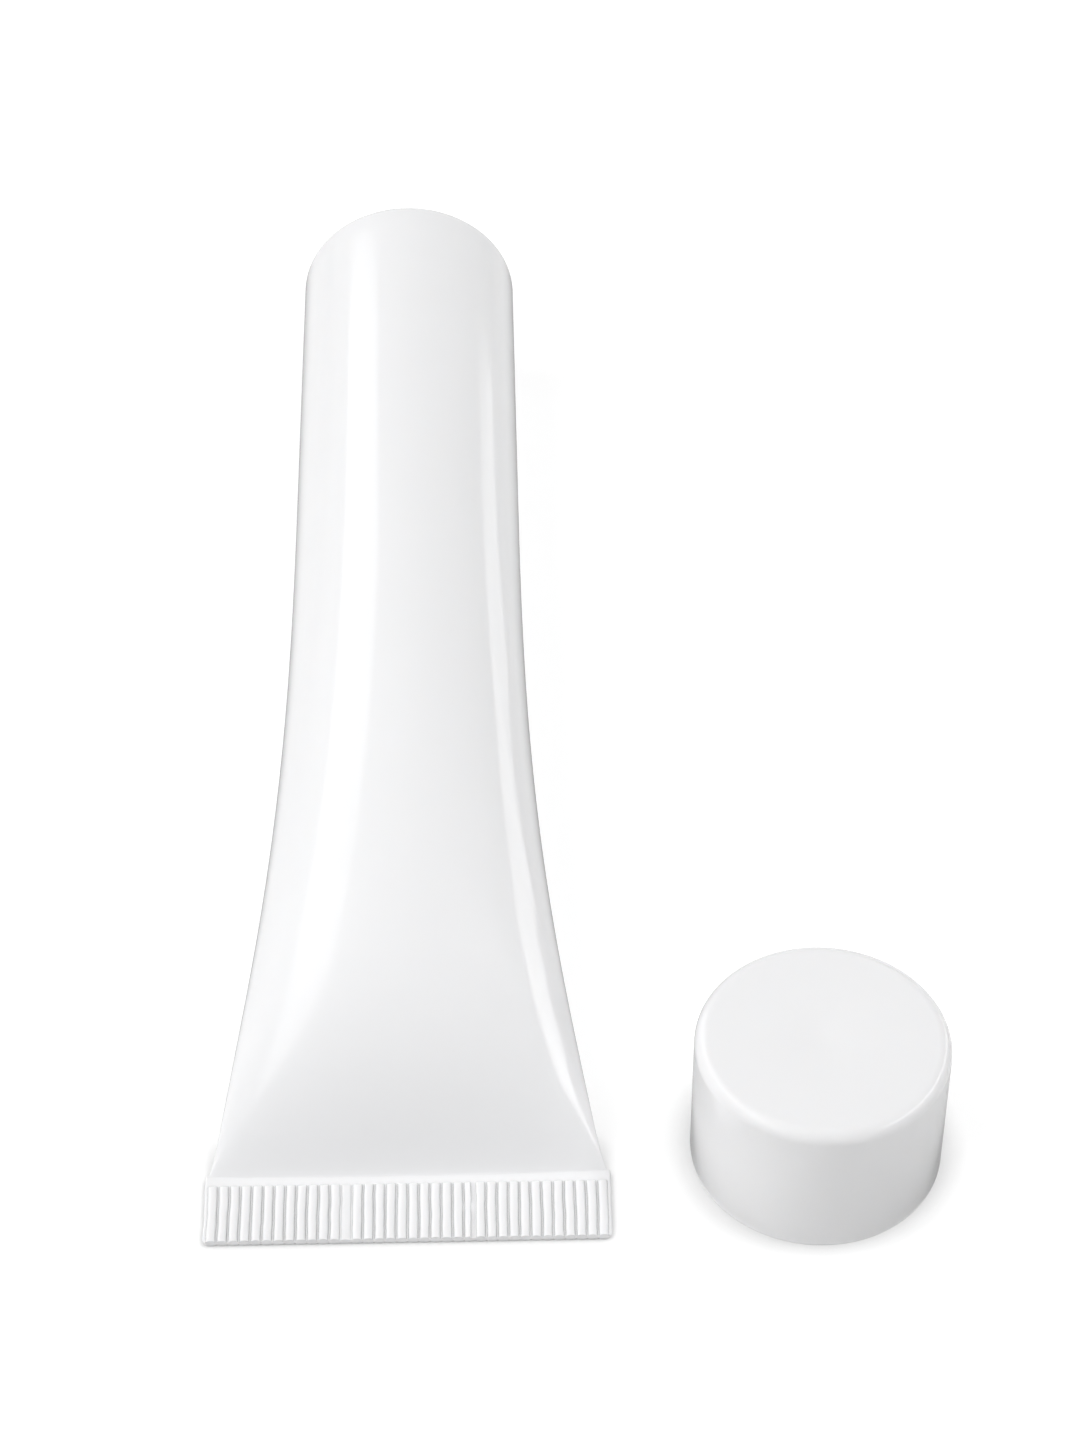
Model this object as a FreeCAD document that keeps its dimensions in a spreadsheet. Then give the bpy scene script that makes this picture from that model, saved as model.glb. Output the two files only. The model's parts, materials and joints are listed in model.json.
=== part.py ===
"""A cosmetic squeeze tube lying on a table, with its screw cap off and standing beside it.

Four pieces: the extruded sleeve with its ribbed, hot-sealed tail, the moulded head that closes its
front, the screw cap, and the cream that keeps the sleeve plump.

The tube is drawn with the face of its head in the plane Y = 0, its tail towards -Y and the table at Z = 0.
The cap is drawn about its own axis, standing on its rim. Their Placements then set the pair about an
origin on the table, in the middle of the pair's bounding box. All lengths are in millimetres.
"""

import FreeCAD, Part
import Sketcher
import math
import operator
import os

from FreeCAD import Vector

SIZES = {
    # sleeve
    "tube_diameter": 25.0,
    "sleeve_wall": 0.4,
    "sleeve_length": 135.0,       # from the head's face to the end of the crimp
    "straight_length": 37.5,      # behind the head, where the sleeve stays round
    "run_in": 15.0,               # the part of it that is drawn together with the taper
    "taper_power": 2.95,          # how long the back stays full before it dives to the crimp
    "rim_radius": 1.2,            # rounded edge between the side of the tube and its face
    "lip_reach": 1.2,             # how far the sleeve turns in over the head
    # crimp
    "crimp_width": 40.0,
    "crimp_length": 7.8,
    "crimp_web": 0.36,            # what is left of the two walls under the grooves of the jaws
    "crimp_corner": 0.5,
    "plain_strip": 0.9,           # smooth strip between the body and the ribs
    "seal_lead": 0.15,            # how far the seal reaches forward between the walls
    "seal_tuck": 0.05,            # how far the walls lie inside the faces of the strip
    "seal_side": 0.15,            # how far they lie inside its sides
    "rib_count": 36,
    "rib_share": 0.85,            # rib width as a share of the pitch
    "rib_rise": 0.24,             # height of a rib above the web, on each face
    "rib_crown": 0.62,            # crown radius as a share of the rib width
    # head
    "weld_gap": 0.05,
    "shoulder_thickness": 1.3,
    "spigot_depth": 3.0,          # ring that reaches down inside the sleeve
    "spigot_wall": 0.9,
    "neck_radius": 5.5,           # over the crests of the thread
    "neck_length": 8.0,
    "neck_bore_radius": 3.6,
    "neck_root": 0.6,
    "neck_chamfer": 0.4,
    "orifice_radius": 2.0,
    "orifice_length": 1.6,
    # cap
    "cap_radius": 12.5,
    "cap_height": 16.4,
    "cap_wall": 1.5,
    "cap_top": 1.5,
    "cap_edge": 1.35,             # rounding of the closed top
    "rim_chamfer": 0.2,
    "thread_clearance": 0.15,     # between the neck's crests and the cap's bore
    "skirt_wall": 1.2,
    "skirt_lift": 1.5,            # from the rim up to the threaded skirt
    "seat_clearance": 0.1,
    "stem_radius": 2.9,
    "plug_clearance": 0.1,
    "plug_reach": 1.2,            # how far the plug enters the orifice
    "gate_radius": 1.0,           # dimple left by the injection gate
    "gate_depth": 0.15,
    # where the cap stands
    "cap_beside": 40.6,           # from the tube's axis to the cap's axis
    "cap_ahead": 11.3,            # from the end of the crimp to the cap's axis
    # cream
    "cream_gap": 0.08,
    "cream_headroom": 0.3,
    "seam_slit": 0.1,             # height of the cavity where it runs out into the seal
}
STRAIGHT_STEPS = 4                # cross-sections along the run-in
TAPER_STEPS = 10                  # cross-sections along the taper


# ------------------------------------------------------------- sizes that are bound to the sheet

class Size:
    """A number together with the spreadsheet expression that it is bound to."""

    def __init__(self, value, text):
        self.value = float(value)
        self.text = text

    def __neg__(self):
        return 0 - self


def as_size(item):
    return item if isinstance(item, Size) else Size(item, repr(float(item)))


def arithmetic(symbol, function):
    def forward(left, right):
        left, right = as_size(left), as_size(right)
        return Size(function(left.value, right.value), f"({left.text} {symbol} {right.text})")

    def backward(right, left):
        return forward(left, right)

    return forward, backward


Size.__add__, Size.__radd__ = arithmetic("+", operator.add)
Size.__sub__, Size.__rsub__ = arithmetic("-", operator.sub)
Size.__mul__, Size.__rmul__ = arithmetic("*", operator.mul)
Size.__truediv__, Size.__rtruediv__ = arithmetic("/", operator.truediv)
Size.__pow__, Size.__rpow__ = arithmetic("^", operator.pow)


def size(alias):
    return Size(SIZES[alias], f"Sizes.{alias}")


def smaller(left, right):
    return Size(min(left.value, right.value), f"min({left.text}; {right.text})")


def make_sheet(doc):
    sheet = doc.addObject("Spreadsheet::Sheet", "Sizes")
    for row, (alias, value) in enumerate(SIZES.items(), start=1):
        sheet.set(f"A{row}", alias)
        sheet.set(f"B{row}", str(value))
        sheet.setAlias(f"B{row}", alias)
    doc.recompute()


# ------------------------------------------------------------- sketches and features

def make_body(doc, name):
    body = doc.addObject("PartDesign::Body", name)
    body.Label = name
    return body


def make_sketch(body, name, role, offset=0):
    """A sketch parallel to one of the body's own origin planes, moved along that plane's normal."""
    sketch = body.newObject("Sketcher::SketchObject", name)
    plane = next(item for item in body.Origin.OriginFeatures if item.Role == role)
    sketch.AttachmentSupport = [(plane, "")]
    sketch.MapMode = "FlatFace"
    bind(sketch, "AttachmentOffset.Base.z", offset)
    return sketch


def bind(item, path, length):
    length = as_size(length)
    item.setExpression(path, length.text)


def pin_down(sketch, name, kind, refs, length):
    """Add a named dimension to the sketch and bind it to the sheet."""
    length = as_size(length)
    sketch.addConstraint(Sketcher.Constraint(kind, *refs, length.value))
    sketch.renameConstraint(sketch.ConstraintCount - 1, name)
    sketch.setExpression(f"Constraints.{name}", length.text)


def draw_outline(sketch, corners):
    """Draw a closed outline through corners of (across, up) or (across, up, radius).

    A corner with a radius is reached by an arc of that radius from the corner before it. A positive
    radius turns left along the way, a negative one turns right.
    """
    places = [Vector(as_size(corner[0]).value, as_size(corner[1]).value, 0) for corner in corners]
    for index, corner in enumerate(corners):
        start, end = places[index - 1], places[index]
        if len(corner) == 2:
            sketch.addGeometry(Part.LineSegment(start, end))
            continue
        bend = as_size(corner[2]).value
        sketch.addGeometry(Part.Arc(start, arc_middle(start, end, bend), end))
    for index, corner in enumerate(corners):
        following = (index + 1) % len(corners)
        end_point = end_of(sketch, index, places[index])
        start_point = end_of(sketch, following, places[index])
        sketch.addConstraint(Sketcher.Constraint("Coincident", index, end_point, following, start_point))
        pin_down(sketch, f"across_{index}", "DistanceX", (-1, 1, index, end_point), corner[0])
        pin_down(sketch, f"up_{index}", "DistanceY", (-1, 1, index, end_point), corner[1])
        if len(corner) == 3:
            bend = as_size(corner[2])
            pin_down(sketch, f"radius_{index}", "Radius", (index,), bend if bend.value > 0 else -bend)


def arc_middle(start, end, bend):
    """The middle of the shorter arc of the given radius, left-turning when the radius is positive."""
    chord = end - start
    half = chord.Length / 2
    sagitta = abs(bend) - math.sqrt(bend * bend - half * half)
    right = Vector(chord.y, -chord.x, 0).normalize()
    return (start + end) * 0.5 + right * math.copysign(sagitta, bend)


def end_of(sketch, index, place):
    """Which end of the line or arc, 1 or 2, lies at the place."""
    gaps = [(sketch.getPoint(index, point) - place).Length for point in (1, 2)]
    return 1 + gaps.index(min(gaps))


def draw_oval(sketch, name, width, height, centre):
    """An upright or lying oval of the given full width and height, its centre up the vertical axis."""
    width, height, centre = as_size(width), as_size(height), as_size(centre)
    middle = Vector(0, centre.value, 0)
    oval = sketch.addGeometry(Part.Ellipse(middle, width.value / 2, height.value / 2))
    sketch.exposeInternalGeometry(oval)
    long_axis, short_axis = oval + 1, oval + 2
    sketch.addConstraint(Sketcher.Constraint("Horizontal", long_axis))
    sketch.addConstraint(Sketcher.Constraint("PointOnObject", oval, 3, -2))
    pin_down(sketch, f"{name}_centre", "DistanceY", (-1, 1, oval, 3), centre)
    pin_down(sketch, f"{name}_width", "Distance", (long_axis,), width)
    pin_down(sketch, f"{name}_height", "Distance", (short_axis,), height)


def draw_circle(sketch, name, radius, centre):
    radius, centre = as_size(radius), as_size(centre)
    circle = sketch.addGeometry(Part.Circle(Vector(0, centre.value, 0), Vector(0, 0, 1), radius.value))
    sketch.addConstraint(Sketcher.Constraint("PointOnObject", circle, 3, -2))
    pin_down(sketch, f"{name}_centre", "DistanceY", (-1, 1, circle, 3), centre)
    pin_down(sketch, f"{name}_radius", "Radius", (circle,), radius)


def add_loft(body, name, sketches):
    loft = body.newObject("PartDesign::AdditiveLoft", name)
    loft.Profile = sketches[0]
    loft.Sections = sketches[1:]
    loft.Ruled = False
    loft.Refine = False
    return loft


def add_revolution(body, name, sketch, axis):
    turned = body.newObject("PartDesign::Revolution", name)
    turned.Profile = sketch
    turned.ReferenceAxis = (sketch, [axis])
    turned.Angle = 360
    return turned


def add_axis(sketch, height):
    """A construction line along the sketch's horizontal direction, at the given height."""
    height = as_size(height)
    line = Part.LineSegment(Vector(0, height.value, 0), Vector(10, height.value, 0))
    axis = sketch.addGeometry(line, True)
    sketch.addConstraint(Sketcher.Constraint("Horizontal", axis))
    sketch.addConstraint(Sketcher.Constraint("PointOnObject", axis, 1, -2))
    pin_down(sketch, "axis_height", "DistanceY", (-1, 1, axis, 1), height)
    pin_down(sketch, "axis_length", "Distance", (axis,), 10)


def add_pad(body, name, sketch, length):
    pad = body.newObject("PartDesign::Pad", name)
    pad.Profile = sketch
    bind(pad, "Length", length)
    return pad


# ------------------------------------------------------------- shared geometry of the tube

def tube_shapes():
    """Lengths that the sleeve, the head and the cream share."""
    radius = size("tube_diameter") / 2
    return {
        "radius": radius,
        "inside": radius - size("sleeve_wall"),
        "taper_end": size("sleeve_length") - size("crimp_length"),
        "lip_inside": radius - size("rim_radius") - size("lip_reach"),
        "spigot_end": size("rim_radius") + size("spigot_depth"),
        "spigot_inside": radius - size("sleeve_wall") - size("weld_gap") - size("spigot_wall"),
        "shoulder_inside": size("sleeve_wall") + size("shoulder_thickness"),
        "round_end": size("straight_length") - size("run_in"),
    }


def taper_sections():
    """Cross-sections of the sleeve's outside along the taper, as (reach, width, height, centre, fullness).

    Filled and lying down, the sleeve keeps its underside on the table while its back comes down to the
    crimp along a superellipse. Its girth can't change, so each section widens as it loses height: the
    width grows with 1 - fullness ** spread, whose slope at the round end keeps the girth constant.
    """
    shape = tube_shapes()
    run = shape["taper_end"] - size("straight_length")
    end_height = size("crimp_web") - 2 * size("seal_tuck")
    widening = (size("crimp_width") - 2 * size("seal_side")) / size("tube_diameter") - 1
    spread = 1 / widening
    sections = []
    for step in range(1, TAPER_STEPS + 1):
        along = math.sin(math.pi / 2 * step / TAPER_STEPS)
        reach = size("straight_length") + run * along
        fullness = (1 - along ** size("taper_power")) ** 0.5
        height = end_height + (size("tube_diameter") - end_height) * fullness
        width = size("tube_diameter") * (1 + widening * (1 - fullness ** spread))
        centre = height / 2 + (size("rib_rise") + size("seal_tuck")) * (1 - fullness)
        sections.append((reach, width, height, centre, fullness))
    return sections


def sleeve_loft(body, name, start, short, skins):
    """A loft along the sleeve through one ring of outlines, or two where it has a wall.

    It ends short of the crimp's front by the given length. Each skin is (name, inset from the sleeve's
    outside, height that is left at that end).
    """
    shape = tube_shapes()
    sketches = []
    for step in range(STRAIGHT_STEPS):
        reach = start + (size("straight_length") - start) * (step / (STRAIGHT_STEPS - 1))
        sketch = make_sketch(body, f"{name}_round_{step}", "XZ_Plane", reach)
        for skin, inset, _ in skins:
            draw_circle(sketch, skin, shape["radius"] - inset, shape["radius"])
        sketches.append(sketch)
    for step, (reach, width, height, centre, fullness) in enumerate(taper_sections(), start=1):
        if step == TAPER_STEPS:
            reach = reach - short
        sketch = make_sketch(body, f"{name}_oval_{step}", "XZ_Plane", reach)
        for skin, inset, end_height in skins:
            high = end_height + (size("tube_diameter") - 2 * inset - end_height) * fullness
            draw_oval(sketch, skin, width - 2 * inset, high, centre)
        sketches.append(sketch)
    return add_loft(body, name, sketches)


# ------------------------------------------------------------- pieces

def make_sleeve(doc):
    body = make_body(doc, "tube_sleeve")
    shape = tube_shapes()
    rim, wall = size("rim_radius"), size("sleeve_wall")
    radius = shape["radius"]

    add_crimp(doc, body)
    sleeve_loft(body, "taper", shape["round_end"], 0, [
        ("outside", 0, size("crimp_web") - 2 * size("seal_tuck")),
        ("inside", wall, size("seam_slit")),
    ])

    front = make_sketch(body, "front_outline", "YZ_Plane")
    draw_outline(front, [
        (-shape["round_end"], 2 * radius),
        (-rim, 2 * radius),
        (0, 2 * radius - rim, -rim),
        (0, radius + shape["lip_inside"]),
        (-wall, radius + shape["lip_inside"]),
        (-wall, 2 * radius - rim),
        (-rim, 2 * radius - wall, rim - wall),
        (-shape["round_end"], 2 * radius - wall),
    ])
    add_axis(front, radius)
    add_revolution(body, "front", front, "Axis0")
    return body


def add_crimp(doc, body):
    """The flat seal strip with its ribs, pressed alike into both faces by the hot jaws."""
    half, end = size("crimp_width") / 2, size("sleeve_length")
    front = end - size("crimp_length")
    start = front - size("seal_lead")
    corner, web, rise = size("crimp_corner"), size("crimp_web"), size("rib_rise")

    plan = make_sketch(body, "strip_plan", "XY_Plane", rise)
    draw_outline(plan, [
        (-half, -start),
        (-half, corner - end),
        (corner - half, -end, corner),
        (half - corner, -end),
        (half, corner - end, corner),
        (half, -start),
    ])
    add_pad(body, "strip", plan, web)

    pitch = size("crimp_width") / (size("rib_count") + 0.5)
    rib = pitch * size("rib_share")
    first = -pitch * (size("rib_count") - 1) / 2
    crown = rib * size("rib_crown")
    crown_height = crown - (crown ** 2 - (rib / 2) ** 2) ** 0.5
    low, high = crown_height, web + 2 * rise - crown_height
    ribs_start = front + size("plain_strip")
    section = make_sketch(body, "rib_section", "XZ_Plane", ribs_start)
    draw_outline(section, [
        (first - rib / 2, low),
        (first + rib / 2, low, crown),
        (first + rib / 2, high),
        (first - rib / 2, high, crown),
    ])
    add_pad(body, "rib", section, end - ribs_start)

    ribs = body.newObject("PartDesign::LinearPattern", "ribs")
    ribs.Originals = [body.getObject("rib")]
    ribs.Direction = (section, ["H_Axis"])
    bind(ribs, "Length", pitch * (size("rib_count") - 1))
    bind(ribs, "Occurrences", size("rib_count"))
    body.Tip = ribs
    doc.recompute()


def make_head(doc):
    body = make_body(doc, "tube_head")
    shape = tube_shapes()
    axis, gap = shape["radius"], size("weld_gap")
    seat = -size("sleeve_wall") - gap
    land = shape["lip_inside"] - gap
    outer = shape["inside"] - gap
    inner = shape["spigot_inside"]
    rim = size("rim_radius")
    neck, tip = size("neck_radius"), size("neck_length")
    root, chamfer = size("neck_root"), size("neck_chamfer")
    bore, orifice = size("neck_bore_radius"), size("orifice_radius")
    underside = -shape["shoulder_inside"]

    outline = make_sketch(body, "head_outline", "YZ_Plane")
    draw_outline(outline, [
        (0, axis + neck + root),
        (root, axis + neck, -root),
        (tip - chamfer, axis + neck),
        (tip, axis + neck - chamfer),
        (tip, axis + orifice),
        (tip - size("orifice_length"), axis + orifice),
        (tip - size("orifice_length"), axis + bore),
        (underside, axis + bore),
        (underside, axis + inner),
        (-shape["spigot_end"], axis + inner),
        (-shape["spigot_end"], axis + outer),
        (-rim, axis + outer),
        (seat, shape["radius"] * 2 - rim, -(rim + seat)),
        (seat, axis + land),
        (0, axis + land),
    ])
    add_axis(outline, axis)
    add_revolution(body, "head_turned", outline, "Axis0")
    return body


def make_cap(doc):
    body = make_body(doc, "screw_cap")
    radius, height, edge = size("cap_radius"), size("cap_height"), size("cap_edge")
    ceiling = height - size("cap_top")
    inside = radius - size("cap_wall")
    bore = size("neck_radius") + size("thread_clearance")
    skirt = bore + size("skirt_wall")
    lift, chamfer = size("skirt_lift"), size("rim_chamfer")
    seat = size("neck_length") + size("seat_clearance")
    plug = size("orifice_radius") - size("plug_clearance")
    plug_tip = size("neck_length") - size("plug_reach")

    outline = make_sketch(body, "cap_outline", "XZ_Plane")
    draw_outline(outline, [
        (radius - chamfer, 0),
        (radius, chamfer),
        (radius, height - edge),
        (radius - edge, height, edge),
        (size("gate_radius"), height),
        (0, height - size("gate_depth")),
        (0, plug_tip),
        (plug, plug_tip),
        (plug, seat),
        (size("stem_radius"), seat),
        (size("stem_radius"), ceiling),
        (bore, ceiling),
        (bore, lift),
        (skirt, lift),
        (skirt, ceiling),
        (inside, ceiling),
        (inside, 0),
    ])
    add_revolution(body, "cap_turned", outline, "V_Axis")
    return body


def make_cream(doc):
    body = make_body(doc, "cream")
    shape = tube_shapes()
    gap, headroom = size("cream_gap"), size("cream_headroom")
    start = shape["spigot_end"] + headroom
    inset, short = size("sleeve_wall") + gap, size("seal_lead") + gap
    sleeve_loft(body, "filling", start, short, [("skin", inset, size("seam_slit") / 2)])

    front = make_sketch(body, "front_circle", "XZ_Plane", shape["shoulder_inside"] + headroom)
    draw_circle(front, "rim", shape["spigot_inside"] - gap, shape["radius"])
    add_pad(body, "front", front, start - shape["shoulder_inside"] - headroom)
    return body


# ------------------------------------------------------------- the whole

def place(body, across, along):
    bind(body, "Placement.Base.x", across)
    bind(body, "Placement.Base.y", along)


def place_pieces(tube_pieces, cap):
    """Set the tube and the cap about the middle of the table area that the pair covers."""
    middle_x = (size("cap_beside") + size("cap_radius") - size("crimp_width") / 2) / 2
    cap_front = size("cap_ahead") - size("cap_radius")
    middle_y = (size("neck_length") - size("sleeve_length") + smaller(cap_front, as_size(0))) / 2
    for body in tube_pieces:
        place(body, -middle_x, -middle_y)
    place(cap, size("cap_beside") - middle_x, size("cap_ahead") - size("sleeve_length") - middle_y)


def check(doc, pieces):
    for item in doc.Objects:
        if "Invalid" in item.State or "Error" in item.State:
            raise RuntimeError(f"{item.Label} failed: {item.State}")
    for body in pieces:
        if body.Shape.isNull() or not body.Shape.isValid() or len(body.Shape.Solids) != 1:
            raise RuntimeError(f"{body.Label} isn't one valid solid")
        print(f"{body.Label}: {body.Shape.Volume / 1000:.2f} cm3")


def main():
    doc = FreeCAD.newDocument("squeeze_tube")
    make_sheet(doc)
    tube_pieces = [make_sleeve(doc), make_head(doc), make_cream(doc)]
    cap = make_cap(doc)
    place_pieces(tube_pieces, cap)
    doc.recompute()
    check(doc, tube_pieces + [cap])
    os.makedirs("parts", exist_ok=True)
    for body in tube_pieces + [cap]:
        body.Shape.exportStep(f"parts/{body.Label}.step")


main()
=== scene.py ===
# %% [markdown]
# # A squeeze tube with its cap off
#
# A cosmetic tube is three plastic pieces and their filling. An extruded sleeve makes the body, a moulded
# head with a threaded neck closes its front, and hot jaws press its tail flat into a ribbed crimp. The screw
# cap stands beside it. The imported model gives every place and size. This lesson models each piece as it
# really looks, and gives it the plastic that it is made of.

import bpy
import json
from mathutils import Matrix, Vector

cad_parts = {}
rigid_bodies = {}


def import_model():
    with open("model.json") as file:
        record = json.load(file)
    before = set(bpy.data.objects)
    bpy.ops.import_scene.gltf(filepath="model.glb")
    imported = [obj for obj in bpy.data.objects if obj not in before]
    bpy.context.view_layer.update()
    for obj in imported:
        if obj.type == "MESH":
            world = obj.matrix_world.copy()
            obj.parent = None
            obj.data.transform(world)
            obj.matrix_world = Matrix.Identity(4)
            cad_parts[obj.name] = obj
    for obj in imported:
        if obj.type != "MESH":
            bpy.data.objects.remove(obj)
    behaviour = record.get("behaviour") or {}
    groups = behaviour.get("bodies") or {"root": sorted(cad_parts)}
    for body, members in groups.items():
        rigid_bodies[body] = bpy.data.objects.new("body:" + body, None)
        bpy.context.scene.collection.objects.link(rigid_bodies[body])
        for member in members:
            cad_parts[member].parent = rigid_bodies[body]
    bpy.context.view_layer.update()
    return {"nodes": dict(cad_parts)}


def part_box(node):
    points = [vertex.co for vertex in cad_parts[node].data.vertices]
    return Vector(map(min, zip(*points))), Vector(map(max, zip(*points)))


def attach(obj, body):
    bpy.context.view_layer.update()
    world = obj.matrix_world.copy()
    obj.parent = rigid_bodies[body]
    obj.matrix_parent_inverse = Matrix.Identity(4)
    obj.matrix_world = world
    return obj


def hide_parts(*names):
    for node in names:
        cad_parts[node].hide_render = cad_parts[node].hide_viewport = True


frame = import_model()
print("nodes:", ", ".join(sorted(frame["nodes"])))

# %% [markdown]
# ## Sizes
#
# Positions could be typed in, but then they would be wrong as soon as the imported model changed. They are
# read from the boxes of its nodes instead. Blender works in metres, so the few sizes that a box can't
# show, such as a wall, are written in millimetres and multiplied by MM.

# %% Read the places of the tube and of the cap
import json
import math

import bmesh
import bpy
from mathutils import Vector

MM = 0.001

sleeve_low, sleeve_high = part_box("tube_sleeve")
head_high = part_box("tube_head")[1]
cap_low, cap_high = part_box("screw_cap")

tube_radius = sleeve_high.z / 2
tube_x = (sleeve_low.x + sleeve_high.x) / 2
face_y = sleeve_high.y
tail_y = sleeve_low.y
crimp_width = sleeve_high.x - sleeve_low.x
cap_middle = (cap_low + cap_high) / 2
cap_radius = (cap_high.x - cap_low.x) / 2
cap_height = cap_high.z
print(f"tube {2 * tube_radius / MM:.1f} x {(face_y - tail_y) / MM:.1f} mm")
print(f"cap {cap_height / MM:.1f} mm high")

# %% [markdown]
# ## Camera
#
# The camera looks along the tube from behind its tail, 44 degrees down, from about half a metre. A long
# lens keeps the round end nearly as wide as it is drawn. Its place is measured from the middle of the
# tube's round end on the table, because that is the point which the whole view is built around.

# %% Set up the camera
lens = bpy.data.cameras.new("camera")
lens.lens = 92.86
lens.clip_start = 0.01
camera = bpy.data.objects.new("camera", lens)
bpy.context.scene.collection.objects.link(camera)
camera.location = (tube_x + 8.20 * MM, face_y - 360.10 * MM, 290.65 * MM)
camera.rotation_euler = (math.radians(45.64), 0, math.radians(-1.27))
bpy.context.scene.camera = camera
print("camera at", [round(1000 * value) for value in camera.location], "mm")

# %% [markdown]
# ## Working by hand, from code
#
# Everything below is modelled as it would be in the window: a primitive is added, its vertices are picked
# and pulled in edit mode, and the finished mesh keeps its place while its object stays at the origin. Two
# small helpers stand in for the mouse. One picks vertices by where they are. The other leaves edit mode
# with nothing selected, because an operator acts on everything that still is.

# %% Helpers for selecting
def let_go():
    if bpy.context.mode != "OBJECT":
        bpy.ops.object.mode_set(mode="OBJECT")
    bpy.ops.object.select_all(action="DESELECT")


def pick(test):
    """In edit mode, select the vertices whose place passes the test, and say how many did."""
    bpy.ops.mesh.select_mode(type="VERT")
    bpy.ops.mesh.select_all(action="DESELECT")
    mesh = bmesh.from_edit_mesh(bpy.context.object.data)
    found = [vertex for vertex in mesh.verts if test(vertex.co)]
    for vertex in found:
        vertex.select_set(True)
    mesh.select_flush_mode()
    bmesh.update_edit_mesh(bpy.context.object.data)
    return len(found)


def start_shape(name):
    """Name the primitive that was just added, put its place into its mesh and go into edit mode."""
    bpy.context.object.name = name
    bpy.context.object.data.name = name
    bpy.ops.object.transform_apply()
    bpy.ops.object.mode_set(mode="EDIT")
    bpy.ops.mesh.select_all(action="SELECT")


def finish_shape(weld, sharp=35):
    """Weld the seams, turn the faces outwards and shade the shape, with edges where it bends sharply."""
    bpy.ops.mesh.select_all(action="SELECT")
    bpy.ops.mesh.remove_doubles(threshold=weld)
    bpy.ops.mesh.normals_make_consistent(inside=False)
    bpy.ops.object.mode_set(mode="OBJECT")
    bpy.ops.object.shade_smooth_by_angle(angle=math.radians(sharp))
    return bpy.context.object


def pull(move, scale=(1, 1, 1), about=None):
    """Extrude what is selected, move it, and scale it about a point."""
    bpy.ops.mesh.extrude_region_move(TRANSFORM_OT_translate={"value": move})
    if about is not None:
        bpy.ops.transform.resize(value=scale, center_override=about)


# %% [markdown]
# ## Pulling a ring
#
# The sleeve, the head, the cap and the cream are all round or oval across one axis. Such a form could be
# lofted from many curves, or spun from half an outline. Here one ring of edges is pulled from station to
# station, as on a lathe, and made wider or flatter at each. That covers the turned pieces and the sleeve
# alike. The wall closes when the ring comes back to where it began, or when it shrinks to a point.

# %% Helper that pulls a ring along stations
def ring_form(name, axis, stations, corners, closed_start=False):
    """Model a closed wall. A station is (middle, half width, half height) of an oval across the axis."""
    let_go()
    middle, wide, high = stations[0]
    upright = (math.pi / 2, 0, 0) if axis == "Y" else (0, 0, 0)
    fill = "TRIFAN" if closed_start else "NOTHING"
    bpy.ops.mesh.primitive_circle_add(vertices=corners, radius=wide, fill_type=fill, location=middle,
                                      rotation=upright)
    start_shape(name)
    if closed_start:
        pick(lambda place: (place - middle).length > 0.9 * wide)
    for station in stations[1:]:
        scale_x, scale_up = station[1] / wide, station[2] / high
        scale = (scale_x, 1, scale_up) if axis == "Y" else (scale_x, scale_up, 1)
        pull(station[0] - middle, scale, station[0])
        middle, wide, high = station
    return finish_shape(weld=0.001 * MM)


def arc(start, end, steps):
    """Evenly spaced angles from start to end, in degrees, without the first."""
    return [math.radians(start + (end - start) * step / steps) for step in range(1, steps + 1)]


# %% [markdown]
# ## The sleeve
#
# The sleeve is a pipe of polyethylene, extruded, cut to length and filled from its open tail, which is then
# pressed shut. Its girth can't change, so it widens from 25 to 40 mm as it goes flat. The underside lies on
# the table and its back comes down to the crimp along a superellipse. The wall is 0.4 mm thick. Solidify
# could give it that, but it would turn inside out where the tail is flatter than two walls, so the inner
# skin is pulled too: out over the rim, back to the tail, and forward again inside.

# %% Sizes of the sleeve
wall = 0.4 * MM
rim = 1.2 * MM                    # rounded edge round the face
lip = 1.2 * MM                    # how far the sleeve turns in over the head
straight = 37.5 * MM              # the part that stays round
crimp_length = 7.8 * MM
taper_power = 2.95                # how long the back stays full before it comes down
easing = 20                       # how shortly before the crimp the back flattens out
seal_side = 0.15 * MM             # how far the walls lie inside the sides of the seal
seal_height = 0.26 * MM           # the walls where they enter the seal, and the slit left between them
slit_height = 0.1 * MM
seal_lift = 0.31 * MM             # underside of the sleeve above the table at the seal
taper = face_y - tail_y - crimp_length - straight


def tube_ring(reach, radius):
    return Vector((tube_x, face_y - reach, tube_radius)), radius, radius


def tapered_ring(share, inset, end_height):
    """The sleeve's oval at a share of the taper, or one that lies inside it by the inset."""
    widening = (crimp_width - 2 * seal_side) / (2 * tube_radius) - 1
    fullness = math.sqrt(1 - share ** taper_power)
    wide = 2 * tube_radius * (1 + widening * (1 - fullness ** (1 / widening)))
    rise = fullness * (1 - share ** easing)
    high = seal_height + (2 * tube_radius - seal_height) * rise
    middle = high / 2 + seal_lift * (1 - rise)
    inner_high = end_height + (2 * tube_radius - 2 * inset - end_height) * rise
    place = Vector((tube_x, face_y - straight - taper * share, middle))
    return place, wide / 2 - inset, inner_high / 2


def taper_rings(inset, end_height, steps):
    shares = [math.sin(math.pi / 2 * step / steps) for step in range(1, steps + 1)]
    return [tapered_ring(share, inset, end_height) for share in shares]


# %% Model the sleeve
def rim_rings(radius):
    """The rounded edge of the face, for a skin whose edge has this radius."""
    turned = [tube_ring(rim - radius * math.cos(angle), tube_radius - rim + radius * math.sin(angle))
              for angle in arc(0, 90, 10)]
    return [tube_ring(rim - radius, tube_radius - rim)] + turned


def straight_rings(radius, steps):
    return [tube_ring(rim + (straight - rim) * step / steps, radius) for step in range(1, steps + 1)]


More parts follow.
